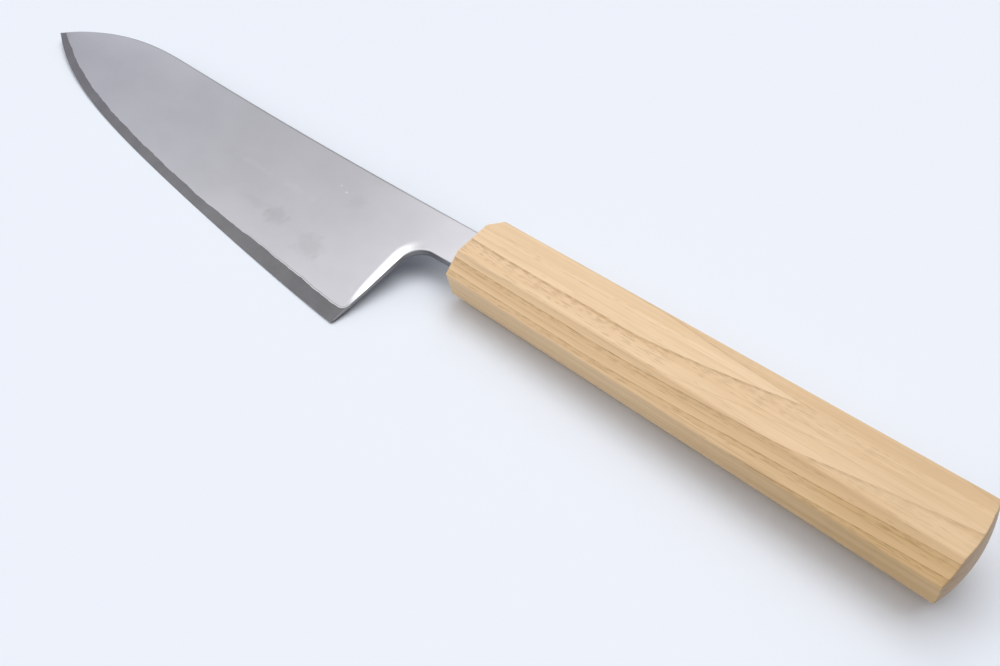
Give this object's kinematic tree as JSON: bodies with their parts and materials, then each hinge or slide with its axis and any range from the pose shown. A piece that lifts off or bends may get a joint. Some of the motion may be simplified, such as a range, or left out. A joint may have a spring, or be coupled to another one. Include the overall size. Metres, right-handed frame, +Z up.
{
  "type": "gyuto knife",
  "caption": "Japanese chef's knife: laminated steel blade with a dark exposed core along the edge, hidden tang in an octagonal wooden handle.",
  "frame": {"origin": "bottom centre of the knife's box, on the plane of the handle's lower wide flat", "axes": "+X from the blade's tip to the handle's butt; -Y towards the cutting edge; +Z up, square to the blade's left face"},
  "size_m": [0.3726, 0.0534, 0.017],
  "materials": {
    "core_steel": "fine ground, dark grey",
    "cladding": "hazy satin",
    "handle_wood": "smooth, bare or lightly oiled, open pores",
    "glue": "dull, dark amber"
  },
  "bodies": {
    "root": {"core_steel": "core_steel", "cladding_left": "cladding", "cladding_right": "cladding", "handle": "handle_wood", "tang_glue": "glue"}
  },
  "joints": []
}
